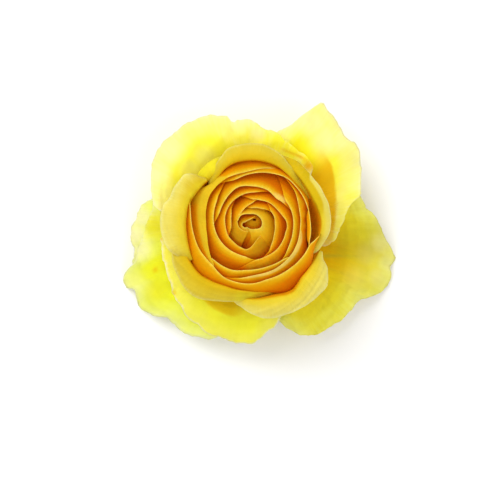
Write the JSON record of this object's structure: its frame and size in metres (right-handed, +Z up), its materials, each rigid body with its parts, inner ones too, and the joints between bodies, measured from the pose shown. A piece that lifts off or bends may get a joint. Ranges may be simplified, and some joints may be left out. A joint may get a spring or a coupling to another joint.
{
  "type": "cut rose",
  "caption": "Full-blown cut rose head lying face up: rolled outer petals, a deep cup of nested petals, sepals, hip and a short cut stem.",
  "frame": {"origin": "middle of the bloom's outline as seen from above, on the surface it rests on", "axes": "+Z up, the way the bloom faces; +X to the bloom's widest side, the low petal on the right; +Y to its pointed petal's side"},
  "size_m": [0.1002, 0.0876, 0.0567],
  "materials": {
    "petal_outer": "soft matt petal, lemon yellow, paler to the rim, fine veins",
    "petal_cup": "soft matt petal, golden yellow deepening to orange inside the cup, pale rolled rim",
    "petal_heart": "soft matt petal, deep orange gold, pale rim",
    "sepal": "matt green sepal with a midrib",
    "hip": "smooth waxy green hip",
    "stem": "green stem, pale fibrous cut face"
  },
  "bodies": {
    "root": {"hip": "hip", "stem": "stem", "sepal_1": "sepal", "sepal_2": "sepal", "sepal_3": "sepal", "sepal_4": "sepal", "sepal_5": "sepal", "outer_petal_left_back": "petal_outer", "outer_petal_right": "petal_outer", "outer_petal_left": "petal_outer", "outer_petal_right_top": "petal_outer", "outer_petal_bottom": "petal_outer", "outer_petal_top": "petal_outer", "lip_petal_tucked": "petal_outer", "lip_petal_top": "petal_outer", "lip_petal_right": "petal_outer", "lip_petal_left": "petal_outer", "lip_petal_bottom": "petal_outer", "lip_petal_front": "petal_outer", "cup_petal_01": "petal_cup", "cup_petal_02": "petal_cup", "cup_petal_03": "petal_cup", "cup_petal_04": "petal_cup", "cup_petal_05": "petal_cup", "cup_petal_06": "petal_cup", "cup_petal_07": "petal_cup", "cup_petal_08": "petal_cup", "heart_petal_01": "petal_heart", "heart_petal_02": "petal_heart", "heart_petal_03": "petal_heart", "heart_petal_04": "petal_heart", "heart_petal_05": "petal_heart", "heart_petal_06": "petal_heart", "heart_petal_07": "petal_heart", "heart_petal_08": "petal_heart", "heart_petal_09": "petal_heart"}
  },
  "joints": []
}
